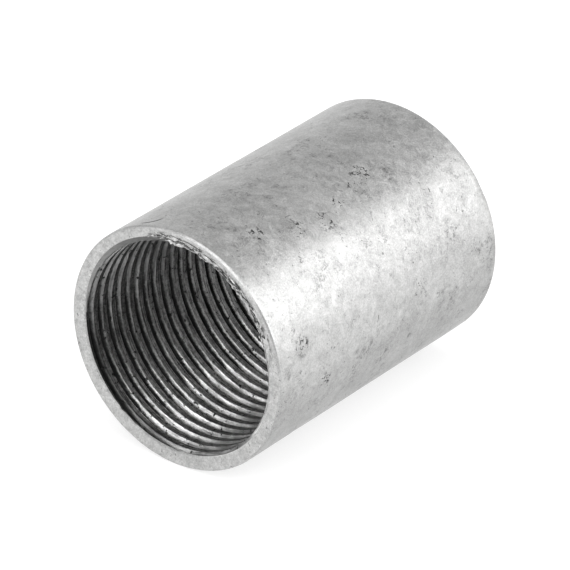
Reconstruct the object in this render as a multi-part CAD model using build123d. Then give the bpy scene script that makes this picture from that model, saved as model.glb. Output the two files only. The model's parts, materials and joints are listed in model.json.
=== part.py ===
from build123d import *
import math
import os

# Pipe coupling: one steel sleeve with a right-hand internal thread running
# through from mouth to mouth.  Millimetres.  The bore lies along Y with the
# front mouth at -Y, and the origin is at the middle of the bore.

# Sleeve
LENGTH = 38.2
OUTER_DIAMETER = 27.7
OUTER_EDGE_RADIUS = 0.28

# Internal thread, metric fine M25 x 1.5, with its crests cut off flat at the
# bore diameter, as a galvanised conduit coupler has them
MAJOR_DIAMETER = 25.0
BORE_DIAMETER = 23.9
PITCH = 1.5
FLANK_ANGLE = 30.0
ROOT_FLAT = PITCH / 8

# Where the thread groove meets the front face, in degrees from +X towards +Z
THREAD_START = 12.0

# Edge break at each mouth, 45 degrees
MOUTH_DIAMETER = 24.1

# Working allowances: how far the blank tube and the thread groove run past the
# two faces before the sleeve is cut to length, and how far the cutting shapes
# stand clear of the finished walls
BLANK_OVERRUN = 4 * PITCH
GROOVE_OVERRUN = 2 * PITCH
BLANK_SPARE_WALL = 2.0
GROOVE_PROUD = 0.12
EDGE_BREAK_OUTSIDE = 0.5
EDGE_BREAK_DEPTH = 2.0


def blank_tube():
    """Over-long, over-thick tube bored to the diameter of the thread's crests."""
    length = LENGTH + 2 * BLANK_OVERRUN
    return Cylinder(OUTER_DIAMETER / 2 + BLANK_SPARE_WALL, length) - Cylinder(BORE_DIAMETER / 2, length)


def thread_groove():
    """The thread groove as a helical solid, its open side standing into the bore."""
    root_radius = MAJOR_DIAMETER / 2
    open_radius = BORE_DIAMETER / 2 - GROOVE_PROUD
    half_root = ROOT_FLAT / 2
    half_open = half_root + (root_radius - open_radius) * math.tan(math.radians(FLANK_ANGLE))
    start = -LENGTH / 2 + PITCH * THREAD_START / 360 - GROOVE_OVERRUN
    turns = math.ceil((LENGTH + 2 * GROOVE_OVERRUN) / PITCH)
    outline = Polyline(
        (open_radius, 0, start - half_open),
        (root_radius, 0, start - half_root),
        (root_radius, 0, start + half_root),
        (open_radius, 0, start + half_open),
        close=True,
    )
    helix = Helix(PITCH, turns * PITCH, root_radius, center=(0, 0, start))
    return sweep(make_face(outline), path=helix, is_frenet=True)


def outside_shape():
    """Solid bar with the sleeve's length and outside, its two rim edges rounded."""
    bar = Cylinder(OUTER_DIAMETER / 2, LENGTH)
    return fillet(bar.edges().filter_by(GeomType.CIRCLE), OUTER_EDGE_RADIUS)


def edge_break():
    """Cone that cuts the 45 degree edge break of the lower mouth."""
    mouth_radius = MOUTH_DIAMETER / 2
    cone = Cone(
        mouth_radius + EDGE_BREAK_OUTSIDE,
        mouth_radius - EDGE_BREAK_DEPTH,
        EDGE_BREAK_OUTSIDE + EDGE_BREAK_DEPTH,
        align=(Align.CENTER, Align.CENTER, Align.MIN),
    )
    return Pos(0, 0, -LENGTH / 2 - EDGE_BREAK_OUTSIDE) * cone


def coupling_body():
    """The finished sleeve, laid down so that its bore runs along Y."""
    sleeve = blank_tube() - thread_groove()
    sleeve = sleeve & outside_shape()
    sleeve = sleeve - edge_break() - Rot(180, 0, 0) * edge_break()
    return Rot(-90, 0, 0) * sleeve


os.makedirs("parts", exist_ok=True)
export_step(coupling_body(), "parts/coupling_body.step")
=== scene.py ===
import functools
import json
import math

import bpy
import numpy as np
from mathutils import Matrix, Vector


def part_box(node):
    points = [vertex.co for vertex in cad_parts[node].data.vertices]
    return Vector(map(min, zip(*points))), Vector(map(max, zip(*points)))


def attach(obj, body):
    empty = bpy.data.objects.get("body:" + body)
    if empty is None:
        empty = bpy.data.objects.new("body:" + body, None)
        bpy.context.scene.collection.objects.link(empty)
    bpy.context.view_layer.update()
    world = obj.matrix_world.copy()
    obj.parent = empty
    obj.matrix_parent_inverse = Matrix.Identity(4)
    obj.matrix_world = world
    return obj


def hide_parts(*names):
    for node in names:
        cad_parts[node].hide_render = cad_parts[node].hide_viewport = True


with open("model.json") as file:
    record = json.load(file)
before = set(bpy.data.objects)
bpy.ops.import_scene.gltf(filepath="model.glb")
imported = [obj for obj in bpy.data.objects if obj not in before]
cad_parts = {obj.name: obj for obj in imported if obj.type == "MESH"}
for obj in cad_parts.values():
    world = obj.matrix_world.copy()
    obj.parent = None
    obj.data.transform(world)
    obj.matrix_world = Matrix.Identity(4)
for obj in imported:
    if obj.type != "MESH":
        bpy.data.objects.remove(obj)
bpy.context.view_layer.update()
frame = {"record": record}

# Everything is in metres, in the frame of the CAD part: the bore lies along Y
# with the front mouth at -Y.  Angles round the bore run from +X towards +Z.
MM = 0.001
TURN = 2 * math.pi

LOW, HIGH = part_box("coupling_body")
OUTER_R = (HIGH.x - LOW.x) / 2
HALF_LENGTH = (HIGH.y - LOW.y) / 2
EDGE_R = 0.28 * MM

# Thread: the crests are cut off flat at the record's bore radius.  The groove's half
# widths, at its root and at the crests, are in pitches.
MOUNTS = {m["name"]: m for m in frame["record"]["mounts"]}
CREST_R = MOUNTS["thread_front"]["dims"]["r_mm"] * MM
ROOT_R = 12.5 * MM
PITCH = 1.5 * MM
FLANK_ANGLE = math.radians(30)
HALF_ROOT = 1 / 16
HALF_OPEN = HALF_ROOT + (ROOT_R - CREST_R) * math.tan(FLANK_ANGLE) / PITCH
THREAD_START = math.radians(12.0)

# Countersinks: a plain edge break at the rear, an off-centre one at the front
REAR_MOUTH_R = 12.05 * MM
FRONT_MOUTH_R = 11.84 * MM
FRONT_OFF_CENTRE = 0.8 * MM
FRONT_OFF_ANGLE = math.radians(101.0)

# Hot-dipped outside: how deep its slow waves and its small dents go
DIP_DEPTH = 0.03 * MM
DENT_DEPTH = 0.05 * MM

# Chipped crests: how deep, how near the crest's height a wall has to be to chip, and how
# far in from a mouth the chips are more common
CHIP_DEPTH = 0.22 * MM
CHIP_BAND = 0.1 * MM
CHIP_MOUTH = 0.25 * MM

# The torn stretch of the front mouth's edge: its two ends, how it fades there, how far out
# over the face and how deep into the bore it goes, and how far its material has moved
TORN_FROM = math.radians(12.0)
TORN_TO = math.radians(108.0)
TORN_FADE = math.radians(12.0)
TORN_REACH = 13.1 * MM
TORN_RAGGED = 0.16 * MM
TORN_DEPTH = 0.9 * MM
TORN_OUT = 0.16 * MM
TORN_SINK = 0.15 * MM
TORN_LEAN = 0.08 * MM

# Mesh: angles between its columns, elsewhere and along the torn stretch, and its rings on a
# face, round a rim edge and along the outside
COLUMN = math.radians(2.4)
FINE_COLUMN = math.radians(1.0)
FACE_RINGS = 12
EDGE_RINGS = 5
WALL_RINGS = 70

# Points nearer than this are one point, and a wall this near the countersink is part of it
SAME_POINT = 1e-4 * MM
SAME_WALL = 1e-3 * MM

# Slivers in the torn stretch: sections along each and points round it, and how far one may
# stand out of the front face
FLAKE_SECTIONS = 44
FLAKE_SIDES = 8
FLAKE_PROUD = 0.05 * MM

# Slivers: start and sweep in degrees, then radius, depth, half width and half thickness in mm
FLAKES = (
    (107, -12, 12.75, 0.10, 0.17, 0.08),
    (98, -15, 12.97, 0.03, 0.22, 0.10),
    (96, -15, 12.45, 0.10, 0.24, 0.11),
    (80, -17, 12.84, 0.03, 0.30, 0.09),
    (83, -16, 12.36, 0.24, 0.13, 0.07),
    (67, -20, 12.52, 0.12, 0.20, 0.07),
    (62, -22, 12.94, 0.03, 0.13, 0.06),
    (51, -18, 12.38, 0.18, 0.15, 0.07),
    (42, -18, 12.74, 0.04, 0.18, 0.07),
    (33, -17, 12.34, 0.14, 0.13, 0.07),
)

# Material slots of the sleeve
ZINC, RIM, THREAD, CUT = range(4)

# Reflectance of a tone of 1, for red, green and blue
METAL_TINT = (0.78, 0.78, 0.774)

# Middles of the sleeve's sides with painted shade, in degrees: where painted shade darkens the bore,
# where painted shade darkens the thread's flanks, where painted shade sits behind the front mouth's
# edge and on the face beside it, where the painted shadow in the thread's roots reaches highest,
# and where painted shade dulls the zinc outside
BORE_SHADE_SIDE = -178.0
FLANK_SHADE_SIDE = -60.0
MOUTH_SHADE_SIDE = -137.0
ROOT_SHADE_SIDE = -150.0
OUTSIDE_SHADE_SIDE = -24.0

# Depths from the front face: over these the painted shade in the bore changes, to darker crests, a
# wider painted shadow in the roots and less of the one-sided painted shade, and over these the painted
# shade behind the mouth's edge ends
DEEP_FROM = 14 * MM
DEEP_TO = 26 * MM
MOUTH_SHADE_FROM = 0.9 * MM
MOUTH_SHADE_TO = 1.5 * MM

# Dark speck clusters on the outside: degrees round, mm from the front face, reach in mm
SPECKS = (
    (66, 6.6, 1.6),
    (58, 11.8, 1.5),
    (55, 15.4, 1.7),
    (59, 18.7, 1.3),
    (62, 22.2, 1.2),
    (65, 24.4, 2.2),
    (13, 4.2, 1.6),
    (6, 24.4, 1.4),
    (-11, 8.0, 1.8),
)

# The curved scratch, part of a circle: degrees round and mm from the front face of its own
# middle and of the circle's centre, then the circle's radius and the scratch's reach in mm
SCRATCH_MIDDLE = (105.9, 1.18)
SCRATCH_CENTRE = (109.6, 2.37)
SCRATCH_RADIUS = 1.49
SCRATCH_REACH = 1.7

# Stage: a floor lit from within, like a light table, which keeps the shadow faint
FLOOR_HALF = 3.0
FLOOR_TONE = 0.36
FLOOR_GLOW = 0.68

# Camera: its angles, its distance and its aim, which is this far left of and below the
# middle of the coupling
AZIMUTH = math.radians(37.55)
ELEVATION = math.radians(27.88)
DISTANCE = 40.356 * OUTER_R
AIM_LEFT = 0.0135 * OUTER_R
AIM_BELOW = 0.0255 * OUTER_R
LENS = 331.0
SENSOR = 36

FORWARD = Vector(
    (-math.sin(AZIMUTH) * math.cos(ELEVATION), math.cos(AZIMUTH) * math.cos(ELEVATION), -math.sin(ELEVATION))
)
RIGHT = Vector((math.cos(AZIMUTH), math.sin(AZIMUTH), 0))
UP = RIGHT.cross(FORWARD)
UPRIGHT = Vector((0, 0, 1))

RANDOM = np.random.default_rng(7)

# ---------------------------------------------------------------- sleeve


def waves(count, max_round, max_along):
    """Seeded smooth noise over the bore's angle and length, about -1 to 1."""
    rounds = RANDOM.integers(0, max_round + 1, count)
    alongs = RANDOM.uniform(-max_along, max_along, count)
    phases = RANDOM.uniform(0, TURN, count)

    def value(angle, y):
        total = np.zeros_like(angle)
        for n, k, phase in zip(rounds, alongs, phases):
            total += np.sin(n * angle + TURN * k * y / (2 * HALF_LENGTH) + phase)
        return total / math.sqrt(count)

    return value


wall_waves = waves(14, 7, 4)
dent_waves = waves(22, 26, 14)
chip_waves = waves(30, 90, 30)
tear_waves = waves(26, 80, 60)
lump_waves = waves(16, 40, 40)


def torn(angle):
    """1 along the torn stretch of the front mouth, fading to 0 at its ends."""
    inside = np.minimum(angle % TURN - TORN_FROM, TORN_TO - angle % TURN)
    return np.clip(inside / TORN_FADE, 0, 1)


def outside_dip(angle, y):
    """How far the hot-dipped outside lies below the true cylinder."""
    slow = 0.5 + 0.25 * wall_waves(angle, y)
    dents = np.clip(dent_waves(angle, y) - 1.1, 0, 1)
    return DIP_DEPTH * np.clip(slow, 0, 1) + DENT_DEPTH * dents


def thread_radius(turns):
    """Radius of the threaded wall, turns pitches away from a groove's middle."""
    from_root = np.abs(turns - np.round(turns))
    up = np.clip((from_root - HALF_ROOT) / (HALF_OPEN - HALF_ROOT), 0, 1)
    return ROOT_R + (CREST_R - ROOT_R) * up


def groove_y(angle):
    """Where the groove's middle crosses a given angle, for turn number 0."""
    return -HALF_LENGTH + PITCH * (THREAD_START - angle) / TURN


def countersink_radius(angle, y):
    """Radius of the 45 degree countersinks; the torn stretch of the front one lies further out."""
    ragged = torn(angle) * (0.8 + 0.3 * tear_waves(angle, np.zeros_like(angle)))
    front = FRONT_MOUTH_R + FRONT_OFF_CENTRE * np.cos(angle - FRONT_OFF_ANGLE) + TORN_OUT * ragged
    return np.maximum(front - (HALF_LENGTH + y), REAR_MOUTH_R - (HALF_LENGTH - y))


def bore_radius(angle, y):
    """Radius of the bore wall with its thread, its two countersinks and chipped crests."""
    threaded = thread_radius((y - groove_y(angle)) / PITCH)
    from_end = HALF_LENGTH - np.abs(y)
    chips = np.clip(chip_waves(angle, y) - 1.5 + 0.5 * np.exp(-from_end / CHIP_MOUTH), 0, 0.6)
    threaded = threaded + CHIP_DEPTH * chips * (threaded < CREST_R + CHIP_BAND)
    return np.maximum(threaded, countersink_radius(angle, y))


def tear(angle, y, radius):
    """Push the wall about along the torn stretch of the front mouth's edge."""
    reach = TORN_REACH + TORN_RAGGED * lump_waves(angle, np.zeros_like(angle))
    across = np.clip((reach - radius) / TORN_RAGGED, 0, 1)
    deep = np.exp(-(HALF_LENGTH + y) / TORN_DEPTH)
    weight = torn(angle) * across * deep
    sunk = np.clip(0.9 + 0.3 * tear_waves(angle, radius) + 0.3 * lump_waves(angle, radius), 0, 1.4)
    lean = 0.6 * lump_waves(angle, y) + 0.5 * tear_waves(angle, y)
    return y + TORN_SINK * weight * sunk, radius + TORN_LEAN * weight * lean


def column_angles():
    """Angles of the mesh columns: closer together along the front rim's torn stretch."""
    fine = np.arange(TORN_FROM, TORN_TO, FINE_COLUMN)
    rest_span = TURN - (TORN_TO - TORN_FROM)
    count = round(rest_span / COLUMN)
    rest = TORN_TO + np.arange(count) * rest_span / count
    return np.sort(np.concatenate([fine, rest]) % TURN)


def turn_lines():
    """Thread lines of the bore, in pitches from a groove's middle, closest on the side that shows."""
    flank = HALF_OPEN - HALF_ROOT
    groove = [HALF_ROOT + share * flank for share in (0, 0.3, 0.6, 0.85, 1)]
    crest = [0.42, 0.5, 0.58, 0.66]
    hidden = [1 - HALF_ROOT - share * flank for share in (1, 0.5, 0)]
    one_turn = np.array([0.0] + groove + crest + hidden)
    turns = np.arange(-1, math.ceil(2 * HALF_LENGTH / PITCH) + 1)
    return (turns[:, None] + one_turn[None, :]).ravel()


def bore_rows(angles):
    """Points of the bore wall, one row for each line of the thread, clipped to the sleeve."""
    angle, line = np.meshgrid(angles, turn_lines())
    y = np.clip(groove_y(angle) + line * PITCH, -HALF_LENGTH, HALF_LENGTH)
    return angle, y, bore_radius(angle, y)


def face_row(angles, y, share):
    """One ring of a flat face, share of the way from the mouth to the rounded rim edge."""
    ys = np.full_like(angles, y)
    inner = bore_radius(angles, ys)
    outer = OUTER_R - EDGE_R - outside_dip(angles, ys)
    return ys, inner + (outer - inner) * share


def wall_row(angles, y, radius):
    """One ring of a rounded rim edge or of the outside."""
    ys = np.full_like(angles, y)
    return ys, radius - outside_dip(angles, ys)


def outer_rows(angles):
    """Front face, front edge, outside wall, rear edge and rear face, one ring a row."""
    rise = EDGE_R * (1 - np.cos(np.linspace(0, math.pi / 2, EDGE_RINGS + 1)))
    shares = np.linspace(0, 1, FACE_RINGS)
    wall = np.linspace(-HALF_LENGTH + EDGE_R, HALF_LENGTH - EDGE_R, WALL_RINGS)
    steps = range(1, EDGE_RINGS + 1)
    rows = [face_row(angles, -HALF_LENGTH, share) for share in shares]
    rows += [wall_row(angles, -HALF_LENGTH + rise[k], OUTER_R - rise[EDGE_RINGS - k]) for k in steps]
    rows += [wall_row(angles, y, OUTER_R) for y in wall[1:]]
    rows += [wall_row(angles, HALF_LENGTH - rise[EDGE_RINGS - k], OUTER_R - rise[k]) for k in steps]
    rows += [face_row(angles, HALF_LENGTH, share) for share in shares[-2::-1]]
    return np.array([y for y, radius in rows]), np.array([radius for y, radius in rows])


def sleeve_points():
    """The whole skin as one grid: out over the front face, along the outside, home through the bore."""
    around = column_angles()
    around = np.append(around, around[0] + TURN)
    outer_y, outer_r = outer_rows(around)
    bore_angle, bore_y, bore_r = bore_rows(around)
    outer_angle = np.broadcast_to(around, outer_y.shape)
    angle = np.vstack([outer_angle, bore_angle[::-1], outer_angle[:1]])
    y = np.vstack([outer_y, bore_y[::-1], outer_y[:1]])
    radius = np.vstack([outer_r, bore_r[::-1], outer_r[:1]])
    cut = np.isclose(radius, countersink_radius(angle, y), rtol=0, atol=SAME_WALL)
    y, radius = tear(angle, y, radius)
    return np.stack([radius * np.cos(angle), y, radius * np.sin(angle)], axis=-1), cut, len(outer_y)


def row_material(row, outer_count):
    """Material of the faces between a row of the grid and the next one."""
    if row >= outer_count - 1:
        return THREAD
    if row < FACE_RINGS or row >= outer_count - FACE_RINGS - 1:
        return RIM
    return ZINC


def corners_of(grid, row):
    """The four corners of each cell between a row and the next one."""
    return np.stack([grid[row, :-1], grid[row + 1, :-1], grid[row + 1, 1:], grid[row, 1:]], axis=1)


def skin(points, cut, outer_count, name):
    """A closed mesh from the grid of points, with equal points merged."""
    flat = points.reshape(-1, 3)
    keys = np.round(flat / SAME_POINT).astype(np.int64)
    _, first, index = np.unique(keys, axis=0, return_index=True, return_inverse=True)
    index = index.reshape(points.shape[:2])
    faces, kinds = [], []
    for row in range(len(points) - 1):
        kind = row_material(row, outer_count)
        all_cut = corners_of(cut, row).all(axis=1).tolist()
        for quad, is_cut in zip(corners_of(index, row).tolist(), all_cut):
            corners = [quad[i] for i in range(4) if quad[i] != quad[i - 1]]
            if len(corners) > 2 and len(set(corners)) == len(corners):
                faces.append(corners)
                kinds.append(CUT if is_cut and kind == THREAD else kind)
    mesh = bpy.data.meshes.new(name)
    mesh.from_pydata(flat[first].tolist(), [], faces)
    mesh.polygons.foreach_set("material_index", kinds)
    mesh.update()
    return mesh


def piece(mesh):
    """Put a piece of the coupling in the scene and tie it to the CAD node."""
    thing = bpy.data.objects.new(mesh.name, mesh)
    bpy.context.scene.collection.objects.link(thing)
    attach(thing, "root")
    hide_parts("coupling_body")
    return thing


# ---------------------------------------------------------------- slivers


def on_bore(angle, y, radius):
    """A point given by its angle and radius round the bore's axis."""
    return (radius * math.cos(angle), y, radius * math.sin(angle))


def flake_section(t, wander, start, sweep, radius, depth, width, thick):
    """Points round one sliver, t of the way along it; six slow waves make it wander."""
    swell = math.sin(math.pi * t) ** 0.55
    wobble = [math.sin(TURN * t * (k + 1.5) + wander[k]) for k in range(6)]
    angle = start + sweep * t
    middle_r = radius + 0.08 * MM * wobble[0] + 0.03 * MM * wobble[2]
    middle_y = -HALF_LENGTH + depth + 0.06 * MM * wobble[1] + 0.03 * MM * wobble[4]
    wide = width * swell * (1 + 0.25 * wobble[3] + 0.2 * wobble[5])
    tall = thick * swell * (1 + 0.3 * wobble[4])
    lean = 0.7 * wobble[1]
    section = []
    for k in range(FLAKE_SIDES):
        side = TURN * k / FLAKE_SIDES
        across, up = wide * math.cos(side), tall * math.sin(side)
        r = middle_r + across * math.cos(lean) - up * math.sin(lean)
        y = middle_y + across * math.sin(lean) + up * math.cos(lean)
        section.append(on_bore(angle, max(y, -HALF_LENGTH - FLAKE_PROUD), r))
    return section


def flake(start, sweep, radius, depth, width, thick):
    """Points and faces of one torn sliver of zinc, a closed tapering tube along the rim."""
    wander = RANDOM.uniform(0, TURN, 6)
    points, faces = [], []
    for i in range(1, FLAKE_SECTIONS):
        points += flake_section(i / FLAKE_SECTIONS, wander, start, sweep, radius, depth, width, thick)
    count = FLAKE_SECTIONS - 1
    for i in range(count - 1):
        for k in range(FLAKE_SIDES):
            a, b = i * FLAKE_SIDES + k, i * FLAKE_SIDES + (k + 1) % FLAKE_SIDES
            faces.append((a, a + FLAKE_SIDES, b + FLAKE_SIDES, b))
    first_tip = len(points)
    points += [on_bore(angle, -HALF_LENGTH + depth, radius) for angle in (start, start + sweep)]
    for k in range(FLAKE_SIDES):
        after = (k + 1) % FLAKE_SIDES
        faces.append((first_tip, k, after))
        faces.append((first_tip + 1, (count - 1) * FLAKE_SIDES + after, (count - 1) * FLAKE_SIDES + k))
    return points, faces


def flakes_mesh():
    """The torn slivers along the front mouth's edge."""
    points, faces = [], []
    for start, sweep, *sizes in FLAKES:
        more, shell = flake(math.radians(start), math.radians(sweep), *(size * MM for size in sizes))
        faces += [tuple(i + len(points) for i in face) for face in shell]
        points += more
    mesh = bpy.data.meshes.new("rim_flakes")
    mesh.from_pydata(points, [], faces)
    mesh.update()
    return mesh


# ---------------------------------------------------------------- materials


class Paint:
    """A material's node tree, built up from small steps that each return an output."""

    def __init__(self, name):
        self.material = bpy.data.materials.new(name)
        self.material.use_nodes = True
        self.tree = self.material.node_tree
        self.shader = self.tree.nodes["Principled BSDF"]
        self.place = self.node("ShaderNodeTexCoord").outputs["Object"]
        split = self.node("ShaderNodeSeparateXYZ")
        self.feed(split.inputs[0], self.place)
        x, self.y, z = split.outputs
        self.radius = self.math("SQRT", self.plus(self.times(x, x), self.times(z, z)))
        self.angle = self.math("ARCTAN2", z, x)

    def node(self, kind, **settings):
        made = self.tree.nodes.new(kind)
        for key, value in settings.items():
            setattr(made, key, value)
        return made

    def feed(self, socket, value):
        if isinstance(value, bpy.types.NodeSocket):
            self.tree.links.new(value, socket)
        else:
            socket.default_value = value

    def math(self, operation, *values):
        made = self.node("ShaderNodeMath", operation=operation)
        for socket, value in zip(made.inputs, values):
            self.feed(socket, value)
        return made.outputs[0]

    def times(self, *values):
        return functools.reduce(functools.partial(self.math, "MULTIPLY"), values)

    def plus(self, *values):
        return functools.reduce(functools.partial(self.math, "ADD"), values)

    def minus(self, value, less):
        return self.math("SUBTRACT", value, less)

    def most(self, first, second):
        return self.math("MAXIMUM", first, second)

    def noise(self, size, detail=3.0, rough=0.55, place=None, warp=0.0):
        """Noise from 0 to 1 with blobs of the given size in millimetres."""
        made = self.node("ShaderNodeTexNoise")
        self.feed(made.inputs["Vector"], place or self.place)
        self.feed(made.inputs["Scale"], 1 / (size * MM))
        self.feed(made.inputs["Detail"], detail)
        self.feed(made.inputs["Roughness"], rough)
        self.feed(made.inputs["Distortion"], warp)
        return made.outputs["Fac"]

    def rise(self, value, low, high):
        """0 below low, 1 above high, a smooth step between; low above high falls instead."""
        made = self.node("ShaderNodeMapRange", interpolation_type="SMOOTHSTEP")
        self.feed(made.inputs["Value"], value)
        self.feed(made.inputs["From Min"], low)
        self.feed(made.inputs["From Max"], high)
        return made.outputs["Result"]

    def scale(self, value, low, high):
        """Stretch 0..1 to low..high."""
        made = self.node("ShaderNodeMapRange")
        self.feed(made.inputs["Value"], value)
        self.feed(made.inputs["To Min"], low)
        self.feed(made.inputs["To Max"], high)
        return made.outputs["Result"]

    def mix(self, share, first, second):
        """First at a share of 0, second at 1."""
        made = self.node("ShaderNodeMix", data_type="FLOAT")
        for socket, value in zip(made.inputs[:1] + made.inputs[2:4], (share, first, second)):
            self.feed(socket, value)
        return made.outputs[0]

    def line(self, value, middle, none, full):
        """1 where a value is near middle, within full of it, and 0 beyond none."""
        return self.rise(self.math("ABSOLUTE", self.minus(value, middle)), none, full)

    def spots(self, small, low, high, large, crowd_low, crowd_high, detail=2):
        """Spots of a small noise, only where a large one is high."""
        spot = self.rise(self.noise(small, detail, 0.5), low, high)
        return self.times(spot, self.rise(self.noise(large, 2, 0.5), crowd_low, crowd_high))

    def round_place(self, stretch, across, along=0.0):
        """A place for noise to be read at, so that its blobs run round the bore."""
        made = self.node("ShaderNodeCombineXYZ")
        for socket, value in zip(made.inputs, (self.times(self.angle, stretch * MM), across, along)):
            self.feed(socket, value)
        return made.outputs[0]

    def side(self, angle, middle, none, full):
        """1 round one side of the sleeve, 0 beyond: none and full in degrees from the middle."""
        turned = self.math("COSINE", self.minus(angle, math.radians(middle)))
        return self.rise(turned, math.cos(math.radians(none)), math.cos(math.radians(full)))

    def distance(self, angle, y):
        """Distance from a place on the outside, given in degrees round and mm from the front face."""
        made = self.node("ShaderNodeVectorMath", operation="DISTANCE")
        self.feed(made.inputs[0], self.place)
        self.feed(made.inputs[1], on_bore(math.radians(angle), y * MM - HALF_LENGTH, OUTER_R))
        return made.outputs["Value"]

    def near(self, angle, y, reach):
        """1 at a place on the outside given in degrees and mm, 0 beyond reach mm."""
        return self.rise(self.distance(angle, y), reach * MM, 0.3 * reach * MM)

    def grey(self, value):
        made = self.node("ShaderNodeCombineColor")
        for socket, tint in zip(made.inputs, METAL_TINT):
            self.feed(socket, self.times(value, tint))
        return made.outputs[0]

    def finish(self, tone, roughness, height, lift):
        """Metal of a tone and roughness, with a height that lifts it by up to lift mm."""
        bump = self.node("ShaderNodeBump")
        self.feed(bump.inputs["Height"], height)
        self.feed(bump.inputs["Distance"], lift * MM)
        self.feed(self.shader.inputs["Normal"], bump.outputs[0])
        self.feed(self.shader.inputs["Base Color"], self.grey(tone))
        self.feed(self.shader.inputs["Roughness"], roughness)
        self.feed(self.shader.inputs["Metallic"], 1.0)
        return self.material


def scratch(p):
    """Arc of a circle drawn on the outside, fading towards its ends."""
    arc = p.line(p.distance(*SCRATCH_CENTRE), SCRATCH_RADIUS * MM, 0.17 * MM, 0.10 * MM)
    return p.times(arc, p.near(*SCRATCH_MIDDLE, SCRATCH_REACH), 2.0)


def hair_lines(p):
    """Thin wandering lines in places, and the one curved scratch."""
    hairs = p.line(p.noise(2.6, 2, 0.6, warp=1.2), 0.5, 0.012, 0.004)
    hairs = p.times(hairs, p.rise(p.noise(1.5, 2, 0.6), 0.58, 0.64))
    return p.most(hairs, scratch(p))


def speck_clusters(p):
    """Dark specks: a few pale ones everywhere, many black ones in the clusters."""
    few = p.spots(0.36, 0.655, 0.70, 2.4, 0.50, 0.60)
    crowd = 0.0
    for angle, y, reach in SPECKS:
        crowd = p.most(crowd, p.near(angle, y, reach))
    many = p.times(p.rise(p.noise(0.5, 3, 0.6, warp=0.9), 0.56, 0.62), p.rise(crowd, 0.15, 0.9))
    return p.most(p.times(few, 0.55), many)


def stains(p):
    """Broad smudges, ragged inside."""
    broad = p.rise(p.noise(3.2, 3, 0.6), 0.52, 0.66)
    return p.times(broad, p.rise(p.noise(0.5, 4, 0.75, warp=0.6), 0.46, 0.60))


def zinc_outside():
    """Hot-dip zinc: clouded, mottled and grainy, with painted shade down one side, with stains and specks.
    """
    p = Paint("zinc_outside")
    cloud = p.noise(5.5, 4, 0.6, warp=0.6)
    mottle = p.noise(1.1, 5, 0.75, warp=0.8)
    grain = p.noise(0.17, 3, 0.65)
    tone = p.plus(p.scale(cloud, -0.15, 0.15), p.scale(mottle, -0.32, 0.32), p.scale(grain, 0.30, 0.86))
    # painted shade: the outside darker down one side
    tone = p.times(tone, p.mix(p.side(p.angle, OUTSIDE_SHADE_SIDE, 26, 5), 1.0, 0.82))
    tone = p.minus(tone, p.times(stains(p), 0.2))
    specks = speck_clusters(p)
    tone = p.mix(specks, tone, 0.10)
    tone = p.times(tone, p.minus(1.0, p.times(hair_lines(p), 0.45)))
    rough = p.plus(p.scale(mottle, 0.26, 0.56), p.times(specks, 0.2))
    height = p.plus(p.times(mottle, 0.8), p.times(grain, 0.35))
    return p.finish(tone, rough, p.minus(height, specks), 0.032)


def cracks(p):
    """Thin dark lines along the torn stretch of the front mouth, from a noise stretched round it."""
    field = p.noise(0.6, 3, 0.6, place=p.round_place(2.4, p.radius, p.y), warp=0.7)
    lines = p.line(field, 0.5, 0.045, 0.012)
    start = p.rise(p.angle, TORN_FROM - 0.5 * TORN_FADE, TORN_FROM + TORN_FADE)
    end = p.rise(p.angle, TORN_TO + 0.5 * TORN_FADE, TORN_TO - TORN_FADE)
    front = p.math("LESS_THAN", p.y, 0.0)
    inner = p.rise(p.radius, 0.975 * OUTER_R, 0.945 * OUTER_R)
    return p.times(lines, p.times(p.times(start, end), front), inner)


def zinc_rim():
    """Zinc on the two faces: mottled, with a painted highlight by the mouth that turns to painted shade on
    one side, painted shade along the outer edge, pitted, torn.
    """
    p = Paint("zinc_rim")
    mottle = p.noise(0.7, 5, 0.7, warp=0.6)
    grain = p.noise(0.16, 3, 0.6)
    tone = p.plus(p.scale(mottle, 0.20, 1.0), p.scale(grain, -0.28, 0.28))
    # painted highlight along the mouth's edge, turning to painted shade on one side
    mouth_highlight = p.rise(p.radius, 0.892 * OUTER_R, 0.872 * OUTER_R)
    highlight_to_shade = p.mix(p.side(p.angle, MOUTH_SHADE_SIDE, 80, 55), 1.0, -0.5)
    # painted shade: a darker band along the faces' outer edge, dimming its highlight
    edge = p.rise(p.radius, 0.981 * OUTER_R, 0.992 * OUTER_R)
    tone = p.plus(tone, p.times(mouth_highlight, highlight_to_shade, 0.28))
    tone = p.minus(tone, p.times(edge, 0.24))
    pits = p.spots(0.3, 0.62, 0.70, 1.4, 0.48, 0.60)
    dark = p.most(p.times(pits, 0.6), cracks(p))
    tone = p.mix(dark, tone, 0.05)
    height = p.minus(p.plus(mottle, p.times(grain, 0.4)), dark)
    return p.finish(tone, p.scale(mottle, 0.30, 0.6), height, 0.05)


def cut_steel():
    """The countersinks: bare steel with fine lines left by the cutter."""
    p = Paint("cut_steel")
    lines = p.noise(0.16, 3, 0.6, place=p.round_place(1.5, p.minus(p.radius, p.y)))
    mottle = p.noise(0.6, 4, 0.65)
    tone = p.plus(p.scale(mottle, 0.22, 0.52), p.scale(lines, -0.11, 0.11))
    return p.finish(tone, p.scale(mottle, 0.38, 0.58), p.plus(lines, mottle), 0.02)


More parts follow.
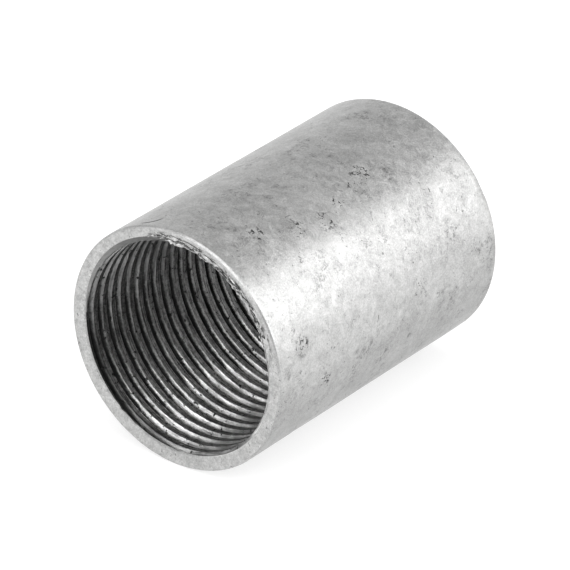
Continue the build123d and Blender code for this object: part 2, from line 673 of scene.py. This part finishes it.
def thread_steel():
    """Cut thread: dull dark crests, rough bright flanks, and painted shade: black roots, darker deep in, on
    two sides and behind the front mouth's edge.
    """
    p = Paint("thread_steel")
    # where on the thread: turns along the groove, and height up the flank from root to crest
    turns = p.plus(
        p.math("DIVIDE", p.plus(p.y, HALF_LENGTH), PITCH),
        p.math("DIVIDE", p.minus(p.angle, THREAD_START), TURN),
    )
    ragged = p.plus(p.scale(p.noise(0.3, 3, 0.75), -0.08, 0.08), p.scale(p.noise(1.6, 2, 0.5), -0.04, 0.04))
    from_root = p.math("PINGPONG", p.plus(turns, ragged), 0.5)
    up = p.math("DIVIDE", p.minus(from_root, HALF_ROOT), HALF_OPEN - HALF_ROOT)
    crest = p.rise(up, 0.95, 1.05)

    # where in the bore: its sides, with uneven borders, and its depth
    depth = p.plus(p.y, HALF_LENGTH)
    deep = p.rise(depth, DEEP_FROM, DEEP_TO)
    border = p.plus(p.angle, p.scale(p.noise(2.5, 3, 0.6), -0.35, 0.35))
    # painted shade round one side of the bore, fading deep in
    side_shade = p.times(p.side(border, BORE_SHADE_SIDE, 60, 22), p.mix(deep, 1.0, 0.1))
    # painted shade: flanks darker round one side, at every depth
    flank_shade = p.side(border, FLANK_SHADE_SIDE, 34, 10)
    # painted shadow in the roots reaches highest round this side
    roots = p.side(border, ROOT_SHADE_SIDE, 42, 14)
    # painted shade: a dark band just behind the front mouth's edge on one side
    mouth_shade = p.times(p.side(border, MOUTH_SHADE_SIDE, 52, 28), p.rise(depth, MOUTH_SHADE_TO, MOUTH_SHADE_FROM))

    # flanks
    mottle = p.noise(0.4, 4, 0.8)
    flank_tone = p.plus(p.scale(mottle, 0.30, 1.35), p.scale(p.noise(2.2, 3, 0.6), -0.22, 0.22))
    # painted shade on two sides of the bore darkens the flanks
    flank_tone = p.times(flank_tone, p.mix(side_shade, 1.0, 0.32), p.mix(flank_shade, 1.0, 0.34))
    # painted shadow in the grooves: each flank goes black from its root up, higher deep in and on one side
    root_shade_top = p.mix(roots, p.mix(deep, 0.45, 0.7), 1.05)
    root_shade_full = p.mix(roots, p.mix(deep, -0.1, 0.3), 0.48)
    flank_tone = p.mix(p.rise(up, root_shade_top, root_shade_full), flank_tone, 0.05)

    # crests
    crest_tone = p.most(p.scale(mottle, -0.25, 1.0), 0.03)
    # painted shade: crests darker on the shaded side and deeper in the bore
    crest_tone = p.times(crest_tone, p.mix(side_shade, 1.0, 0.6), p.mix(deep, 1.0, 0.3))

    # fine lines left along the thread by the cutter, then nicks and the painted shade behind the mouth's
    # edge over everything
    lines = p.noise(0.17, 3, 0.65, place=p.round_place(0.7, p.times(turns, PITCH)), warp=0.2)
    lines = p.rise(lines, 0.33, 0.67)
    tone = p.times(
        p.mix(crest, flank_tone, crest_tone),
        p.scale(lines, p.mix(crest, 0.62, 0.4), p.mix(crest, 1.38, 1.6)),
    )
    nicks = p.spots(0.42, 0.59, 0.64, 1.3, 0.48, 0.58, detail=3)
    tone = p.mix(p.most(nicks, p.times(mouth_shade, 0.78)), tone, 0.04)
    rough = p.mix(crest, p.scale(mottle, 0.28, 0.55), 0.42)
    height = p.plus(p.times(mottle, p.mix(crest, 1.0, 0.3)), p.times(lines, 0.2))
    return p.finish(tone, rough, p.minus(height, nicks), 0.05)


# ---------------------------------------------------------------- stage


def plain_floor():
    """A wide pale floor that the coupling lies on."""
    mesh = bpy.data.meshes.new("floor")
    corners = [(x * FLOOR_HALF, y * FLOOR_HALF, 0) for x, y in ((-1, -1), (1, -1), (1, 1), (-1, 1))]
    mesh.from_pydata(corners, [], [(0, 1, 2, 3)])
    floor = bpy.data.objects.new("floor", mesh)
    floor.location.z = LOW.z
    bpy.context.scene.collection.objects.link(floor)
    material = bpy.data.materials.new("floor_white")
    material.use_nodes = True
    shader = material.node_tree.nodes["Principled BSDF"]
    shader.inputs["Base Color"].default_value = (FLOOR_TONE, FLOOR_TONE, FLOOR_TONE, 1)
    shader.inputs["Roughness"].default_value = 0.9
    shader.inputs["Emission Color"].default_value = (1, 1, 1, 1)
    shader.inputs["Emission Strength"].default_value = FLOOR_GLOW
    mesh.materials.append(material)


def aim_camera():
    """A long lens, far off, in front of the mouth, above it and to its +X side."""
    data = bpy.data.cameras.new("camera")
    data.sensor_width = SENSOR
    data.lens = LENS
    data.clip_start = 0.01
    camera = bpy.data.objects.new("camera", data)
    camera.location = -FORWARD * DISTANCE - RIGHT * AIM_LEFT - UP * AIM_BELOW
    camera.rotation_euler = Matrix((RIGHT, UP, -FORWARD)).transposed().to_euler()
    bpy.context.scene.collection.objects.link(camera)
    bpy.context.scene.camera = camera


def studio_walls():
    """Soft light from all round: bright low down behind the coupling, darker above and behind the camera."""
    world = bpy.data.worlds.new("studio")
    bpy.context.scene.world = world
    world.use_nodes = True
    tree = world.node_tree
    background = tree.nodes["Background"]
    background.inputs["Color"].default_value = (1, 1, 1, 1)

    def level(value, low, high, at_low, at_high):
        made = tree.nodes.new("ShaderNodeMapRange")
        for socket, number in zip(made.inputs[1:], (low, high, at_low, at_high)):
            socket.default_value = number
        tree.links.new(value, made.inputs["Value"])
        return made.outputs["Result"]

    direction = tree.nodes.new("ShaderNodeTexCoord").outputs["Generated"]
    split = tree.nodes.new("ShaderNodeSeparateXYZ")
    tree.links.new(direction, split.inputs[0])
    behind = tree.nodes.new("ShaderNodeVectorMath")
    behind.operation = "DOT_PRODUCT"
    tree.links.new(direction, behind.inputs[0])
    behind.inputs[1].default_value = (-math.sin(AZIMUTH), math.cos(AZIMUTH), 0)
    strength = tree.nodes.new("ShaderNodeMath")
    strength.operation = "MULTIPLY"
    tree.links.new(level(split.outputs["Z"], 0.1, 0.7, 1.08, 0.58), strength.inputs[0])
    tree.links.new(level(behind.outputs["Value"], -0.35, 0.4, 0.4, 1.0), strength.inputs[1])
    tree.links.new(strength.outputs[0], background.inputs["Strength"])


def softbox(name, direction, distance, upright, size, radiance):
    """An area light facing the coupling; upright is the direction of its second side."""
    data = bpy.data.lights.new(name, "AREA")
    data.shape = "RECTANGLE"
    data.size, data.size_y = size
    data.energy = radiance * math.pi * size[0] * size[1]
    light = bpy.data.objects.new(name, data)
    back = direction.normalized()
    across = upright.cross(back).normalized()
    light.location = back * distance
    light.rotation_euler = Matrix((across, back.cross(across), back)).transposed().to_euler()
    bpy.context.scene.collection.objects.link(light)


def seen(right, up, away):
    """A direction given as the camera sees it."""
    return RIGHT * right + UP * up + FORWARD * away


sleeve_mesh = skin(*sleeve_points(), "coupling_sleeve")
piece(sleeve_mesh)
flake_mesh = flakes_mesh()
piece(flake_mesh)

for material in (zinc_outside(), zinc_rim(), thread_steel(), cut_steel()):
    sleeve_mesh.materials.append(material)
flake_mesh.materials.append(sleeve_mesh.materials[RIM])
sleeve_mesh.set_sharp_from_angle(angle=math.radians(28))
flake_mesh.set_sharp_from_angle(angle=math.radians(50))

plain_floor()
aim_camera()
studio_walls()
softbox("key", seen(0.895, 0.315, -0.30), 0.5, seen(-0.2, 1, 0), (0.24, 0.42), 4.2)
softbox("fill", seen(-0.69, 0.06, -0.72), 0.7, UPRIGHT, (0.56, 0.35), 3.0)
softbox("overhead", UPRIGHT - 0.6 * FORWARD, 1.2, RIGHT, (1.8, 1.5), 2.2)
bpy.context.scene.view_settings.view_transform = "Standard"
